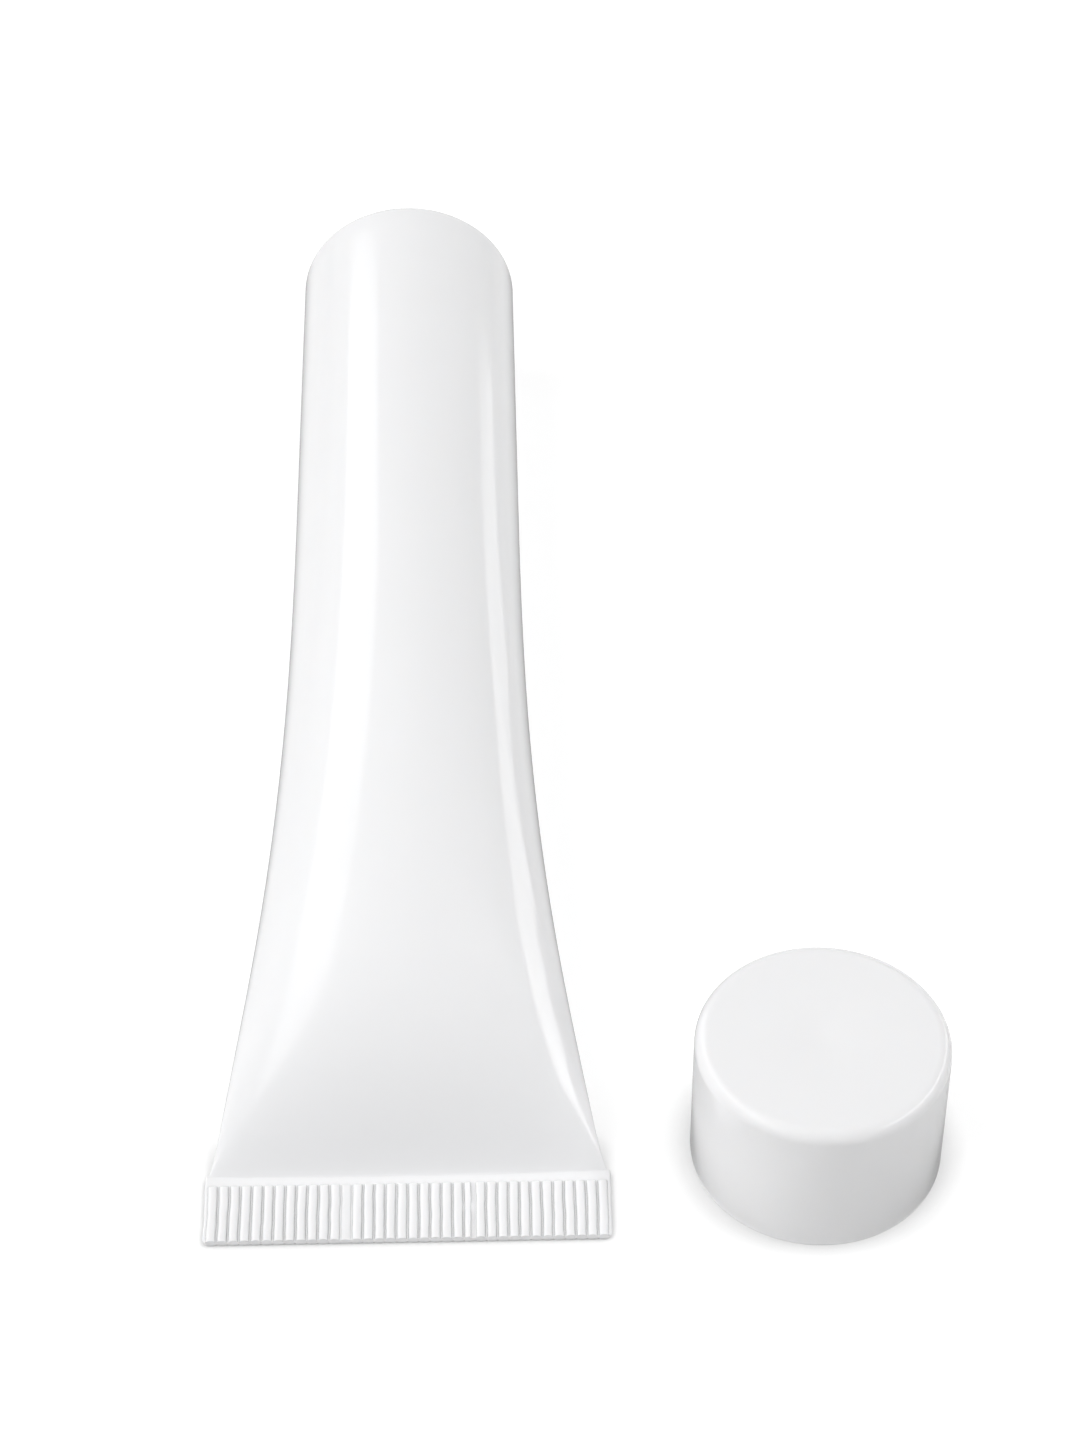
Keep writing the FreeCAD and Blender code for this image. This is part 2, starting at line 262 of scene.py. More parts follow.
def make_sleeve():
    lip_edge = tube_radius - rim - lip
    outside = rim_rings(rim) + straight_rings(tube_radius, 12) + taper_rings(0, seal_height, 56)
    inside = rim_rings(rim - wall) + straight_rings(tube_radius - wall, 6)
    inside += taper_rings(wall, slit_height, 24)
    stations = [tube_ring(0, lip_edge)] + outside + inside[::-1] + [tube_ring(wall, lip_edge),
                                                                   tube_ring(0, lip_edge)]
    return ring_form("sleeve_body", "Y", stations, 160)


sleeve_body = make_sleeve()
print("sleeve_body:", len(sleeve_body.data.polygons), "faces")

# %% [markdown]
# ## The crimp
#
# Hot jaws with a milled pattern press the tail into a strip 0.36 mm thick, and leave a row of ribs on both
# of its faces. Each rib is a low oval crown with a narrow valley beside it, and starts with a rounded nose
# behind a narrow strip that stays plain. The ribs could be laid on a plate one by one, but pressed
# plastic is a single skin. So one pitch of that skin is modelled, repeated with an Array that welds the
# copies, given its margins, and copied upside down for the lower face.

# %% Sizes of the crimp
web = 0.36 * MM
rib_rise = 0.25 * MM
rib_count = 36
pitch = crimp_width / (rib_count + 0.5)
rib_width = 0.85 * pitch
plain_strip = 0.9 * MM
seal_lead = 0.35 * MM             # how far the seal reaches in between the walls
nose = 0.3 * MM                   # length of a rib's rounded end
corner = 0.5 * MM
middle_z = seal_lift + seal_height / 2
web_top = middle_z + web / 2
first_rib = tube_x - pitch * (rib_count - 1) / 2
ribs_end = tail_y + crimp_length - plain_strip
print(f"ribs {1000 * pitch:.3f} mm apart, {1000 * rib_width:.3f} mm wide")

# %% Model one pitch of the upper skin
def roll_off(direction, length, level):
    """Pull what is selected along a direction while it sinks to a level, as a quarter of an oval."""
    height, reach = 1.0, 0.0
    for angle in arc(0, 90, 5):
        following = max(math.cos(angle), 0.001)
        pull(direction * (length * math.sin(angle) - reach), (1, 1, following / height), level)
        height, reach = following, length * math.sin(angle)


def make_pitch():
    """From the cut end, over the rib and its nose, to where the strip runs in between the walls."""
    let_go()
    cut_y = tail_y + 0.04 * MM
    foot = (first_rib, cut_y, web_top)
    bpy.ops.mesh.primitive_circle_add(vertices=28, radius=rib_width / 2, location=foot,
                                      rotation=(math.pi / 2, 0, 0))
    start_shape("sleeve_crimp")
    bpy.ops.transform.resize(value=(1, 1, 2 * rib_rise / rib_width), center_override=foot)
    pick(lambda place: place.z < web_top - 0.001 * MM)
    bpy.ops.mesh.delete(type="VERT")
    valley = (pitch - rib_width) / 2
    for side in (-1, 1):
        pick(lambda place: place.z < web_top + 0.01 * MM and side * (place.x - first_rib) > 0)
        pull((side * valley, 0, 0))
    pick(lambda place: True)
    runs = [corner / 4] * 4
    runs += [(ribs_end - nose - cut_y - corner) / 12] * 12
    for run in runs:
        pull((0, run, 0))
    roll_off(Vector((0, 1, 0)), nose, (first_rib, 0, web_top))
    pull((0, plain_strip, 0))
    pull((0, seal_lead, 0))
    pull((0, 0, 0), (1, 1, 0), (first_rib, 0, middle_z))
    return cut_y


cut_y = make_pitch()

# %% Close the cut end of the pitch
def close_cut_end():
    """The blade leaves a square end, with its upper edge hardly rounded."""
    pick(lambda place: place.y < cut_y + 0.001 * MM and place.z > middle_z + 0.1 * MM)
    pull((0, tail_y - cut_y, 0), (1, 1, 0.93), (first_rib, 0, middle_z))
    pull((0, 0, 0), (1, 1, 0), (first_rib, 0, middle_z))


close_cut_end()
bpy.ops.mesh.select_all(action="SELECT")
bpy.ops.mesh.remove_doubles(threshold=0.001 * MM)
bpy.ops.object.mode_set(mode="OBJECT")
sleeve_crimp = bpy.context.object
print("one pitch:", len(sleeve_crimp.data.polygons), "faces")

# %% Repeat the pitch
row = sleeve_crimp.modifiers.new("row", "ARRAY")
row.count = rib_count
row.use_relative_offset = False
row.use_constant_offset = True
row.constant_offset_displace = (pitch, 0, 0)
row.use_merge_vertices = True
row.merge_threshold = 0.003 * MM
bpy.ops.object.modifier_apply(modifier="row")
print("row:", len(sleeve_crimp.data.polygons), "faces")

# %% [markdown]
# No two ribs are quite alike: the jaws wear, and the soft plastic creeps when they open. One rib left of
# the middle came out flat, a valley right of it is wide, and the rib beside that valley has a notch. All
# are pressed in here, before the skin is copied, by scaling the picked vertices towards the web.

# %% Press in the worn places
def press_in(left, right, inner, outer, keep):
    """Lower the ribs to a share of their height, at places given right of the axis and before the tail."""
    bpy.ops.object.mode_set(mode="EDIT")
    found = pick(lambda place: left < place.x - tube_x < right and outer <= place.y - tail_y < inner
                 and place.z > web_top + 0.001 * MM)
    bpy.ops.transform.resize(value=(1, 1, keep), center_override=(tube_x, 0, web_top))
    bpy.ops.object.mode_set(mode="OBJECT")
    return found


flat_x = first_rib + 12 * pitch - tube_x
press_in(flat_x - rib_width / 2, flat_x + rib_width / 2, crimp_length, 0, 0.55)
press_in(flat_x - rib_width / 2, flat_x + rib_width / 2, 4.4 * MM, 0, 0.7)
press_in(6.2 * MM, 6.72 * MM, crimp_length, 0, 0.08)
pressed = press_in(5.4 * MM, 6.2 * MM, 4.4 * MM, 3.2 * MM, 0.5)
print("notch:", pressed, "vertices")

# %% Give the row its margins
def add_margin(side):
    """Plain margin beside the last rib, which rolls over to the middle of the strip."""
    edge_x = tube_x + side * pitch * rib_count / 2
    margin = crimp_width / 2 - pitch * rib_count / 2
    pick(lambda place: abs(place.x - edge_x) < 0.01 * MM)
    roll = 0.8 * margin
    pull((side * (margin - roll), 0, 0))
    roll_off(Vector((side, 0, 0)), roll, (edge_x, 0, middle_z))


bpy.ops.object.mode_set(mode="EDIT")
for side in (-1, 1):
    add_margin(side)

# %% Copy the skin for the lower face and round the corners
def round_corners():
    """Pull the vertices of both square corners in, so that the square round each centre becomes an arc."""
    mesh = bmesh.from_edit_mesh(bpy.context.object.data)
    for vertex in mesh.verts:
        side = math.copysign(1, vertex.co.x - tube_x)
        aside = side * (vertex.co.x - tube_x) - (crimp_width / 2 - corner)
        behind = tail_y + corner - vertex.co.y
        if aside > 0 and behind > 0:
            shrink = max(aside, behind) / math.hypot(aside, behind)
            vertex.co.x = tube_x + side * (crimp_width / 2 - corner + aside * shrink)
            vertex.co.y = tail_y + corner - behind * shrink
    bmesh.update_edit_mesh(bpy.context.object.data)


bpy.ops.mesh.select_all(action="SELECT")
bpy.ops.mesh.duplicate()
bpy.ops.transform.resize(value=(1, 1, -1), center_override=(tube_x, 0, middle_z))
round_corners()
sleeve_crimp = finish_shape(weld=0.002 * MM, sharp=40)
print("sleeve_crimp:", len(sleeve_crimp.data.polygons), "faces")

# %% [markdown]
# Pressed plastic is never ruled straight. Two Displace modifiers with a soft cloud pattern sway the ribs
# sideways by a few hundredths of a millimetre and vary their height a little.

# %% Make the ribs slightly uneven
def sway(piece, name, direction, amount, grain):
    clouds = bpy.data.textures.new(name, "CLOUDS")
    clouds.noise_scale = grain
    displace = piece.modifiers.new(name, "DISPLACE")
    displace.texture = clouds
    displace.texture_coords = "LOCAL"
    displace.direction = direction
    displace.strength = amount
    displace.mid_level = 0.5
    let_go()
    bpy.context.view_layer.objects.active = piece
    piece.select_set(True)
    bpy.ops.object.modifier_apply(modifier=name)


sway(sleeve_crimp, "sideways", "X", 0.16 * MM, 2.2 * MM)
sway(sleeve_crimp, "height", "Z", 0.05 * MM, 1.6 * MM)

# %% [markdown]
# ## The head
#
# The head is moulded: a flat shoulder under the sleeve's lip, a ring that reaches down inside the sleeve, and
# the neck with its bore and orifice. All of it is turned, so it takes the same ring.

# %% Sizes of the head
neck_crest = 5.5 * MM
neck_core = 4.9 * MM
neck_length = head_high.y - face_y
neck_root = 0.6 * MM
neck_edge = 0.4 * MM
bore = 3.6 * MM
orifice = 2.0 * MM
orifice_length = 1.6 * MM
weld_gap = 0.05 * MM
shoulder = 1.3 * MM
spigot_wall = 0.9 * MM
spigot_depth = 3.0 * MM


# %% Model the head
def make_head():
    land = tube_radius - rim - lip - weld_gap
    outer = tube_radius - wall - weld_gap
    under = wall + shoulder
    turn = rim - wall - weld_gap
    stations = [tube_ring(0, land), tube_ring(0, neck_core + neck_root)]
    stations += [tube_ring(-neck_root + neck_root * math.cos(angle),
                           neck_core + neck_root * (1 - math.sin(angle))) for angle in arc(0, 90, 6)]
    stations += [tube_ring(-neck_length + neck_edge, neck_core)]
    stations += [tube_ring(-neck_length + neck_edge * (1 - math.sin(angle)),
                           neck_core - neck_edge * (1 - math.cos(angle))) for angle in arc(0, 90, 4)]
    stations += [tube_ring(-neck_length, orifice), tube_ring(-neck_length + orifice_length, orifice),
                 tube_ring(-neck_length + orifice_length, bore), tube_ring(under, bore),
                 tube_ring(under, outer - spigot_wall), tube_ring(rim + spigot_depth, outer - spigot_wall),
                 tube_ring(rim + spigot_depth, outer), tube_ring(rim, outer)]
    stations += [tube_ring(rim - turn * math.sin(angle), tube_radius - rim + turn * math.cos(angle))
                 for angle in arc(0, 90, 6)]
    stations += [tube_ring(wall + weld_gap, land), tube_ring(0, land)]
    return ring_form("head_body", "Y", stations, 128)


head_body = make_head()
print("head_body:", len(head_body.data.polygons), "faces")

# %% [markdown]
# ## The threads
#
# The neck has a right-hand thread of about two turns, and the cap has the same thread inside. A thread is
# a small trapezoid swept along a helix, and the Screw modifier does that exactly. Its ends are
# pressed down into the core little by little, because a moulded thread runs out instead of stopping square.

# %% Helper that winds a thread
def thread(name, centre, turn, start, turns, core, depth, lead):
    """A thread round the local Z axis of an object at centre, turned by turn, starting at a height."""
    let_go()
    bpy.ops.mesh.primitive_plane_add(size=1, rotation=(math.pi / 2, 0, 0))
    start_shape(name)
    bpy.ops.transform.resize(value=(abs(depth) + 0.2 * MM, 1, 0.55 * lead), center_override=(0, 0, 0))
    middle = core + depth / 2 - math.copysign(0.1 * MM, depth)
    bpy.ops.transform.translate(value=(middle, 0, start))
    pick(lambda place: (place.x - middle) * depth > 0)
    bpy.ops.transform.resize(value=(1, 1, 0.4), center_override=(middle, 0, start))
    bpy.ops.mesh.select_all(action="SELECT")
    bpy.ops.mesh.delete(type="ONLY_FACE")
    bpy.ops.object.mode_set(mode="OBJECT")
    helix = bpy.context.object.modifiers.new("helix", "SCREW")
    helix.angle = 2 * math.pi * turns
    helix.screw_offset = lead * turns
    helix.steps = int(64 * turns)
    helix.render_steps = helix.steps
    helix.use_normal_calculate = True
    bpy.ops.object.modifier_apply(modifier="helix")
    run_out(start, turns, core, depth, lead)
    bpy.context.object.location = centre
    bpy.context.object.rotation_euler = turn
    bpy.ops.object.transform_apply()
    return bpy.context.object


def run_out(start, turns, core, depth, lead):
    """Press both ends of the thread back into the core, and close them."""
    bpy.ops.object.mode_set(mode="EDIT")
    bpy.ops.mesh.select_all(action="DESELECT")
    bpy.ops.mesh.select_mode(type="EDGE")
    bpy.ops.mesh.select_non_manifold(extend=False)
    bpy.ops.mesh.edge_face_add()
    mesh = bmesh.from_edit_mesh(bpy.context.object.data)
    for vertex in mesh.verts:
        flat = Vector((vertex.co.x, vertex.co.y))
        travelled = (vertex.co.z - start) / lead
        from_end = min(travelled + 0.3, turns + 0.3 - travelled)
        lowered = depth * max(0, 1 - from_end / 0.45)
        flat = flat.normalized() * (flat.length - lowered)
        vertex.co.x, vertex.co.y = flat
    bmesh.update_edit_mesh(bpy.context.object.data)
    finish_shape(weld=0.002 * MM)


# %% Wind the thread on the neck
neck_foot = Vector((tube_x, face_y, tube_radius))
head_thread = thread("head_thread", neck_foot, (-math.pi / 2, 0, 0), 2.0 * MM, 2.0, neck_core,
                     neck_crest - neck_core, 2.0 * MM)
print("head_thread:", len(head_thread.data.polygons), "faces")

# %% [markdown]
# ## The cap
#
# The cap is moulded in polypropylene: a smooth round wall, a flat top with a rounded edge, and inside it the
# threaded skirt and a small plug for the orifice. A ring that starts as a closed disc draws all of it, from
# the dimple that the injection gate left in the top, round the rim, to the tip of the plug.

# %% Sizes of the cap
cap_wall = 1.5 * MM
cap_top = 1.5 * MM
cap_edge = 1.35 * MM
rim_chamfer = 0.2 * MM
skirt_bore = 5.65 * MM
skirt_wall = 1.2 * MM
skirt_lift = 1.5 * MM
stem = 2.9 * MM
plug = 1.9 * MM
plug_tip = 6.8 * MM
seat = 8.1 * MM
gate = 1.0 * MM
gate_depth = 0.05 * MM


def cap_ring(height, radius):
    return Vector((cap_middle.x, cap_middle.y, height)), radius, radius


# %% Model the cap
def make_cap():
    ceiling = cap_height - cap_top
    stations = [cap_ring(cap_height - gate_depth, 0.5 * gate),
                cap_ring(cap_height - 0.8 * gate_depth, 0.85 * gate),
                cap_ring(cap_height, 1.1 * gate), cap_ring(cap_height, 0.5 * cap_radius),
                cap_ring(cap_height, cap_radius - cap_edge)]
    stations += [cap_ring(cap_height - cap_edge * (1 - math.cos(angle)),
                          cap_radius - cap_edge * (1 - math.sin(angle))) for angle in arc(0, 90, 12)]
    stations += [cap_ring(cap_height / 2, cap_radius), cap_ring(rim_chamfer, cap_radius),
                 cap_ring(0.25 * rim_chamfer, cap_radius - 0.25 * rim_chamfer),
                 cap_ring(0, cap_radius - rim_chamfer), cap_ring(0, cap_radius - cap_wall),
                 cap_ring(ceiling, cap_radius - cap_wall),
                 cap_ring(ceiling, skirt_bore + skirt_wall), cap_ring(skirt_lift, skirt_bore + skirt_wall),
                 cap_ring(skirt_lift, skirt_bore), cap_ring(ceiling, skirt_bore), cap_ring(ceiling, stem),
                 cap_ring(seat, stem), cap_ring(seat, plug), cap_ring(plug_tip, plug), cap_ring(plug_tip, 0)]
    return ring_form("cap_body", "Z", stations, 160, closed_start=True)


cap_body = make_cap()
cap_axis = Vector((cap_middle.x, cap_middle.y, 0))
cap_thread = thread("cap_thread", cap_axis, (0, 0, 0), skirt_lift + 1.2 * MM, 2.0, skirt_bore,
                    -0.6 * MM, 2.0 * MM)
print("cap_body:", len(cap_body.data.polygons), "faces, cap_thread:", len(cap_thread.data.polygons))

# %% [markdown]
# ## The cream
#
# The cream fills the sleeve behind the shoulder and holds it round. Only a small disc of it shows, deep down
# through the orifice. It is the sleeve's own shape, a little smaller. Its front is slightly domed by its
# surface tension, and its tail stops just short of the seal.

# %% Model the cream
def make_cream():
    gap, headroom = 0.08 * MM, 0.3 * MM
    front = wall + shoulder + headroom
    front_radius = tube_radius - wall - weld_gap - spigot_wall - gap
    behind_spigot = rim + spigot_depth + headroom
    inset = wall + gap
    stations = [tube_ring(front, 0.4 * front_radius), tube_ring(front + 0.1 * MM, 0.8 * front_radius),
                tube_ring(front + 0.4 * MM, front_radius), tube_ring(behind_spigot, front_radius),
                tube_ring(behind_spigot, tube_radius - inset), tube_ring(straight, tube_radius - inset)]
    stations += taper_rings(inset, slit_height / 2, 24)[:-2]
    last = stations[-1]
    stations.append((last[0], 0, 0))
    return ring_form("cream_fill", "Y", stations, 96, closed_start=True)


cream_fill = make_cream()
print("cream_fill:", len(cream_fill.data.polygons), "faces")

# %% [markdown]
# ## Materials
#
# Every plastic here is white, and they differ in how they were made. Colours are written as sRGB hex values,
# as a designer would pick them, and one function turns them to the linear values that shaders use. One
# more function adds a node with its settings and links, and three short ones use it for what recurs.

# %% Helpers for materials
def colour(hex_value):
    def linear(part):
        return part / 12.92 if part <= 0.04045 else ((part + 0.055) / 1.055) ** 2.4

    parts = [int(hex_value[start:start + 2], 16) / 255 for start in (0, 2, 4)]
    return tuple(linear(part) for part in parts) + (1.0,)


def add_node(tree, kind, inputs=None, **settings):
    """Add a node. An input is a plain value or the socket that feeds it."""
    node = tree.nodes.new(kind)
    for name, value in settings.items():
        setattr(node, name, value)
    for name, value in (inputs or {}).items():
        if isinstance(value, bpy.types.NodeSocket):
            tree.links.new(value, node.inputs[name])
        else:
            node.inputs[name].default_value = value
    return node


def compute(tree, operation, *values):
    """A Math node that works on plain values or sockets."""
    return add_node(tree, "ShaderNodeMath", dict(enumerate(values)), operation=operation).outputs["Value"]


def remap(tree, value, start, end, low, high):
    """A Map Range node: from start to end in, from low to high out, and no further."""
    return add_node(tree, "ShaderNodeMapRange", {"Value": value, "From Min": start, "From Max": end,
                                                 "To Min": low, "To Max": high}).outputs["Result"]


def mix(tree, share, first, second):
    """The first colour where the share is nought, the second where it is one."""
    return add_node(tree, "ShaderNodeMix", {"Factor": share, "A": colour(first), "B": colour(second)},
                    data_type="RGBA").outputs["Result"]


def new_material(name):
    material = bpy.data.materials.new(name)
    material.use_nodes = True
    material.node_tree.nodes.clear()
    return material


def give(material, slot, *pieces):
    for piece in pieces:
        piece.data.materials.clear()
        piece.data.materials.append(material)


# %% [markdown]
# ### Plastics
#
# Polyethylene and polypropylene let a little light in and back out, so all are given some subsurface
# scattering. A real surface is never optically flat. The extruded sleeve has a faint grain of fine lines
# along it, drawn by the die. Moulded pieces have the fine even bloom of a spark-eroded mould. Both are
# drawn by noise in object coordinates, in real millimetres, which bends the normal slightly and varies
# the roughness. The pressed tail gets one thing more: painted shade. The wide soft lamps below fill its
# narrow grooves with light, so an Ambient Occlusion node darkens their tint until each rib stands out.

# %% Make the plastics
# The pressed tail's grooves get painted shade, darkened by an Ambient Occlusion node.
groove_shade_keep = 0.55                # what is left of the tint at the bottom of a groove


def paint_shade_in_grooves(tree, tint, depth, keep):
    """Paint shade into grooves: where little is open within this depth, keep only a share of the tint."""
    open_sky = add_node(tree, "ShaderNodeAmbientOcclusion", {"Distance": depth}, samples=8).outputs["AO"]
    share = remap(tree, open_sky, 0.45, 0.95, keep, 1)
    scaled = add_node(tree, "ShaderNodeVectorMath", {0: tint, "Scale": share}, operation="SCALE")
    return scaled.outputs["Vector"]


def plastic(name, hex_value, hex_shade, roughness, grain, stretch, relief, index, groove=0):
    """grain is the size of the surface's features, stretch their length along the tube, in grains."""
    material = new_material(name)
    tree = material.node_tree
    place = add_node(tree, "ShaderNodeTexCoord").outputs["Object"]
    along = add_node(tree, "ShaderNodeMapping", {"Vector": place, "Scale": (1, 1 / stretch, 1)})
    fine = add_node(tree, "ShaderNodeTexNoise", {
        "Vector": along.outputs["Vector"], "Scale": 1 / grain, "Detail": 3.0}).outputs["Fac"]
    broad = add_node(tree, "ShaderNodeTexNoise", {
        "Vector": place, "Scale": 1 / (9 * MM), "Detail": 2.0}).outputs["Fac"]
    gloss = remap(tree, fine, 0.3, 0.7, roughness - 0.03, roughness + 0.03)
    tint = mix(tree, broad, hex_value, hex_shade)
    # Paint shade into the grooves: the tint is darkened where an Ambient Occlusion node finds them closed in.
    if groove:
        tint = paint_shade_in_grooves(tree, tint, groove, groove_shade_keep)
    bump = add_node(tree, "ShaderNodeBump", {"Height": fine, "Strength": 1.0, "Distance": relief})
    shader = add_node(tree, "ShaderNodeBsdfPrincipled", {
        "Base Color": tint, "Roughness": gloss, "Normal": bump.outputs["Normal"], "IOR": index,
        "Subsurface Weight": 0.1, "Subsurface Radius": (1.0, 0.9, 0.8), "Subsurface Scale": 0.5 * MM})
    add_node(tree, "ShaderNodeOutputMaterial", {"Surface": shader.outputs["BSDF"]})
    return material


extruded_polyethylene = plastic("extruded_polyethylene", "f7f7f8", "f5f5f6", 0.11, 0.25 * MM, 12,
                                0.0004 * MM, 1.51)
pressed_polyethylene = plastic("pressed_polyethylene", "f7f7f8", "f4f4f5", 0.22, 0.2 * MM, 1,
                               0.002 * MM, 1.51, groove=0.5 * MM)
moulded_polyethylene = plastic("moulded_polyethylene", "f5f5f5", "f3f3f3", 0.35, 0.12 * MM, 1,
                               0.001 * MM, 1.51)
moulded_polypropylene = plastic("moulded_polypropylene", "f6f6f7", "f4f4f5", 0.14, 0.15 * MM, 1,
                                0.0004 * MM, 1.49)
print("plastics:", [material.name for material in bpy.data.materials if material.name.count("poly")])

# %% [markdown]
# ### Cream
#
# The cream is an emulsion: white, soft and wet. Light goes well into it, and its skin has a broad sheen. A
# slow noise gives it the folds that filling leaves.

# %% Make the cream
def emulsion():
    material = new_material("white_emulsion")
    tree = material.node_tree
    place = add_node(tree, "ShaderNodeTexCoord").outputs["Object"]
    folds = add_node(tree, "ShaderNodeTexNoise", {
        "Vector": place, "Scale": 1 / (3 * MM), "Distortion": 1.5}).outputs["Fac"]
    tint = mix(tree, folds, "f8f5ee", "f3efe6")
    bump = add_node(tree, "ShaderNodeBump", {"Height": folds, "Distance": 0.3 * MM})
    shader = add_node(tree, "ShaderNodeBsdfPrincipled", {
        "Base Color": tint, "Normal": bump.outputs["Normal"], "Roughness": 0.35, "IOR": 1.4,
        "Subsurface Weight": 0.5, "Subsurface Radius": (1.0, 0.8, 0.6), "Subsurface Scale": 1.5 * MM})
    add_node(tree, "ShaderNodeOutputMaterial", {"Surface": shader.outputs["BSDF"]})
    return material


white_emulsion = emulsion()

# %% Give the pieces their materials and tie them to the model
give(extruded_polyethylene, "sleeve_plastic", sleeve_body)
give(pressed_polyethylene, "sleeve_plastic", sleeve_crimp)
give(moulded_polyethylene, "head_plastic", head_body, head_thread)
give(moulded_polypropylene, "cap_plastic", cap_body, cap_thread)
give(white_emulsion, "cream", cream_fill)

for piece in (sleeve_body, sleeve_crimp, head_body, head_thread, cap_body, cap_thread, cream_fill):
    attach(piece, "root")
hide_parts("tube_sleeve")
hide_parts("tube_head")
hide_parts("screw_cap")
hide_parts("cream")

# %% [markdown]
# ## Table and background
#
# White on white: the table is a wide white sheet, and so bright that it can't be told from the room behind
# it. A lamp strong enough for that would wash out the tube. So the sheet gets a glow that only camera,
# glossy and transmission rays see. It lights nothing. It would hide the shadow where the tube and the cap
# touch the sheet, so an Ambient Occlusion node takes the glow down there: a painted contact shadow.

# %% Make the table
contact_reach = 3 * MM            # how near something must be for the glow to fade
contact_glow = 0.2                # what is left of the glow where it touches
mirrored_glow = 0.2               # how bright the sheet looks in reflections


def seen_directly(tree):
    """A socket that is one for a camera ray, and one for a ray off a glossy or through a clear surface."""
    paths = add_node(tree, "ShaderNodeLightPath").outputs
    mirrored = compute(tree, "MAXIMUM", paths["Is Glossy Ray"], paths["Is Transmission Ray"])
    return paths["Is Camera Ray"], mirrored


def white_sheet():
    """White paper, with a glow that grows with distance and fades where something touches the paper, as a
    painted contact shadow.
    """
    material = new_material("white_sheet")
    tree = material.node_tree
    direct, mirrored = seen_directly(tree)
    place = add_node(tree, "ShaderNodeTexCoord").outputs["Object"]
    away = add_node(tree, "ShaderNodeVectorMath", {0: place}, operation="LENGTH").outputs["Value"]
    level = remap(tree, away, 0.15, 0.7, 0.72, 1)
    open_sky = add_node(tree, "ShaderNodeAmbientOcclusion", {"Distance": contact_reach},
                        samples=16).outputs["AO"]
    # Painted contact shadow: the glow is taken down where the Ambient Occlusion node finds something near.
    painted_contact_shadow = remap(tree, open_sky, 0, 1, contact_glow, 1)
    for_camera = compute(tree, "MULTIPLY", direct, compute(tree, "MULTIPLY", level, painted_contact_shadow))
    glow = compute(tree, "MULTIPLY_ADD", mirrored, mirrored_glow, for_camera)
    tone = mix(tree, direct, "eeeeee", "aaaaaa")
    paper = add_node(tree, "ShaderNodeBsdfDiffuse", {"Color": tone})
    shine = add_node(tree, "ShaderNodeEmission", {"Color": colour("ffffff"), "Strength": glow})
    both = add_node(tree, "ShaderNodeAddShader", {0: paper.outputs["BSDF"], 1: shine.outputs["Emission"]})
    add_node(tree, "ShaderNodeOutputMaterial", {"Surface": both.outputs["Shader"]})
    return material


let_go()
bpy.ops.mesh.primitive_plane_add(size=1.6)
table = bpy.context.object
table.name = "table"
table.data.materials.append(white_sheet())

# %% Make the background
def make_background(light):
    """A white room. The light is what it casts, and it always looks white."""
    world = bpy.data.worlds.new("white_room")
    bpy.context.scene.world = world
    world.use_nodes = True
    tree = world.node_tree
    tree.nodes.clear()
    direct, mirrored = seen_directly(tree)
    strength = remap(tree, compute(tree, "MAXIMUM", direct, mirrored), 0, 1, light, 1)
    glow = add_node(tree, "ShaderNodeBackground", {"Color": colour("ffffff"), "Strength": strength})
    add_node(tree, "ShaderNodeOutputWorld", {"Surface": glow.outputs["Background"]})


make_background(0.25)

# %% [markdown]
# ## Lamps
#
# The form of a white object on white shows only in how its sides differ. Two lamps stand high on both
# sides, two stand low, with the stronger low one on the left, and one lights the crimp from the left of
# the camera. The right flank stays a little darker. They are soft boxes about half a metre wide, 1.2
# metres away. They light, but don't show in reflections, which get panels of their own below.

# %% Set up the lamps
lamp_distance = 1.2


def soft_box(name, turn, height, size, power):
    """Stand a lamp by two angles in degrees: from the tube's head to its right, and above the table."""
    light = bpy.data.lights.new(name, "AREA")
    light.size = size
    light.energy = power
    lamp = bpy.data.objects.new(name, light)
    bpy.context.scene.collection.objects.link(lamp)
    around, up = math.radians(turn), math.radians(height)
    level = Vector((math.sin(around), math.cos(around), 0))
    lamp.location = lamp_distance * (math.cos(up) * level + Vector((0, 0, math.sin(up))))
    lamp.rotation_euler = (-lamp.location).to_track_quat("-Z", "Y").to_euler()
    lamp.visible_camera = False
    lamp.visible_glossy = False
    return lamp


soft_box("right_box", 90, 62, 0.5, 5.1)
soft_box("left_box", -90, 62, 0.5, 3.5)
soft_box("low_left_box", -90, 12, 0.4, 2.9)
soft_box("low_right_box", 90, 12, 0.4, 1.2)
soft_box("front_box", -135, 35, 0.5, 3.4)

# %% [markdown]
# ## What the gloss mirrors
#
# What shows the gloss of smooth plastic is the shape of what it mirrors, so the lamps above stay out of it
# and a few sheets stand in for them. On the left flank a wide panel, high up, draws the long line where the
# flank turns to the top. On the right flank it is a narrow strip. It lies on the table beside the head,
# rises along the tube and arches over towards its tail, and so its reflection follows the tube down to the
# crimp. White on white also needs an outline. A grey sheet, which only reflections see, is laid round the
# object as painted shade for the table near it: the outermost, grazing edge of the plastic mirrors it. The
# sheet fades to white away from the plastic.

# %% Hang the panels
def brighter_towards_tail(tree):
    place = add_node(tree, "ShaderNodeTexCoord").outputs["Object"]
    along = add_node(tree, "ShaderNodeSeparateXYZ", {"Vector": place}).outputs["Y"]
    return remap(tree, along, 0.66, -0.3, 1.6, 5.6)


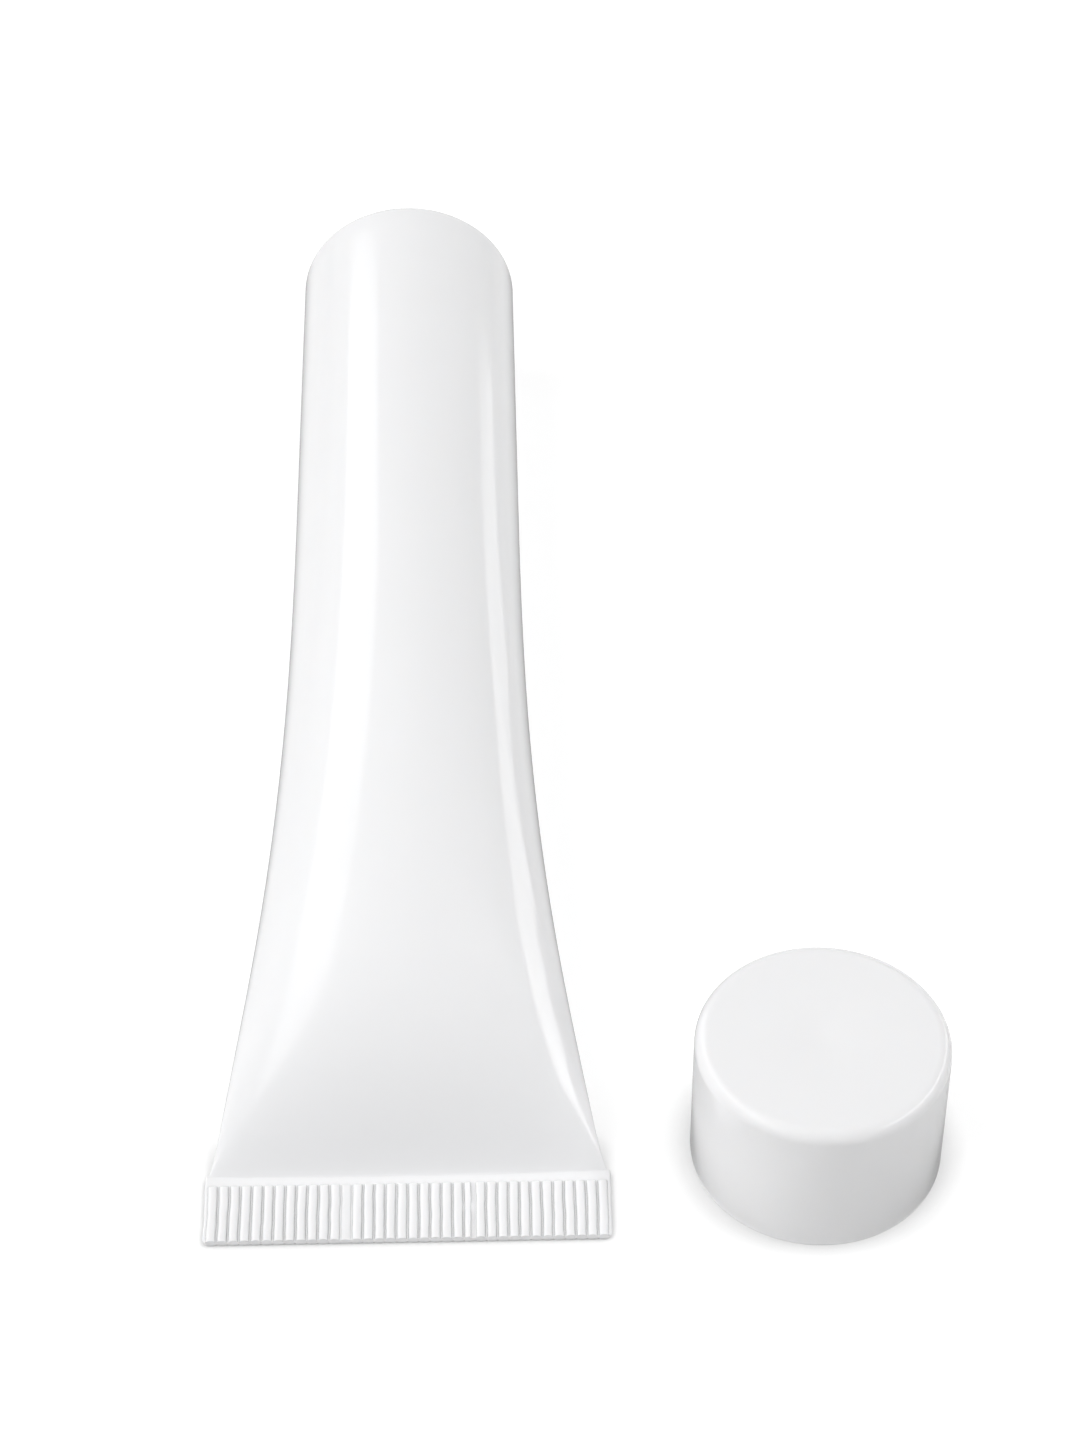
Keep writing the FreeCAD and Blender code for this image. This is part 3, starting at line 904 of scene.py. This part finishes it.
def sheet(name, corners, strength):
    """A flat glowing sheet that only reflections show. Corners are from the tube's axis, in metres."""
    let_go()
    bpy.ops.mesh.primitive_circle_add(vertices=len(corners), radius=1, fill_type="NGON")
    start_shape(name)
    mesh = bmesh.from_edit_mesh(bpy.context.object.data)
    for vertex, corner in zip(mesh.verts, corners):
        vertex.co = Vector((tube_x, 0, 0)) + Vector(corner)
    bmesh.update_edit_mesh(bpy.context.object.data)
    let_go()
    material = new_material(name)
    tree = material.node_tree
    if callable(strength):
        strength = strength(tree)
    glow = add_node(tree, "ShaderNodeEmission", {"Color": colour("ffffff"), "Strength": strength})
    add_node(tree, "ShaderNodeOutputMaterial", {"Surface": glow.outputs["Emission"]})
    made = bpy.data.objects[name]
    made.data.materials.append(material)
    made.visible_camera = made.visible_diffuse = made.visible_shadow = False


sheet("left_panel", [(-0.5, 0.75, 0.24), (-0.5, 0.55, 0.26), (-0.5, -0.1, 0.52), (-0.5, -0.8, 0.62),
                     (-0.5, -0.42, 1.0), (-0.5, 1.1, 1.0), (-0.5, 1.22, 0.78)], 2.3)
sheet("strip_on_table", [(0.06, 0.045, 0.001), (0.2, 0.125, 0.001), (0.5, 0.33, 0.001),
                         (0.5, 0.66, 0.001), (0.1, 0.15, 0.001)], 2.0)
sheet("strip_beside_tube", [(0.5, 0.66, 0.0), (0.5, 0.66, 0.08), (0.5, 0.5, 0.07), (0.5, 0.44, 0.09),
                            (0.5, 0.3, 0.23), (0.5, 0.19, 0.34), (0.5, -0.04, 0.45), (0.5, -0.64, 0.59),
                            (0.5, -0.29, 0.36), (0.5, 0.1, 0.22), (0.5, 0.27, 0.1), (0.5, 0.33, 0.0)],
      brighter_towards_tail)

# %% Lay the sheet of painted shade
# The painted shade is grey beside the tube and fades to white further out.
slower_beyond = 0.3               # how fast the grey fades beyond the head, as a share of beside the tube


def fading_painted_shade(tree):
    """Painted shade seen in reflections: grey beside the tube, beyond its head and round the cap, white
    further out.
    """
    place = add_node(tree, "ShaderNodeTexCoord").outputs["Object"]
    axes = add_node(tree, "ShaderNodeSeparateXYZ", {"Vector": place}).outputs
    half_width = remap(tree, axes["Y"], face_y - straight, tail_y + crimp_length, tube_radius,
                       crimp_width / 2)
    off_axis = compute(tree, "ABSOLUTE", compute(tree, "SUBTRACT", axes["X"], tube_x))
    aside = compute(tree, "SUBTRACT", off_axis, half_width)
    beyond = compute(tree, "MULTIPLY_ADD", axes["Y"], slower_beyond, -slower_beyond * face_y)
    from_tube = compute(tree, "MAXIMUM", aside, beyond)
    from_cap = add_node(tree, "ShaderNodeVectorMath", {0: place, 1: (cap_middle.x, cap_middle.y, 0)},
                        operation="DISTANCE").outputs["Value"]
    by_tube = remap(tree, from_tube, 0, 1.4 * tube_radius, 0.15, 1)
    by_cap = remap(tree, from_cap, cap_radius, 2.2 * cap_radius, 0.3, 1)
    return compute(tree, "MINIMUM", by_tube, by_cap)


sheet("painted_shade_card", [(-0.07, -0.11, 0.0005), (-0.07, 0.13, 0.0005), (0.07, 0.13, 0.0005),
                    (0.07, -0.11, 0.0005)], fading_painted_shade)

# %% [markdown]
# ## Finish
#
# The picture is shown with the Standard view, so that a colour comes out as it was written.

# %% Finish the scene
bpy.context.scene.view_settings.view_transform = "Standard"
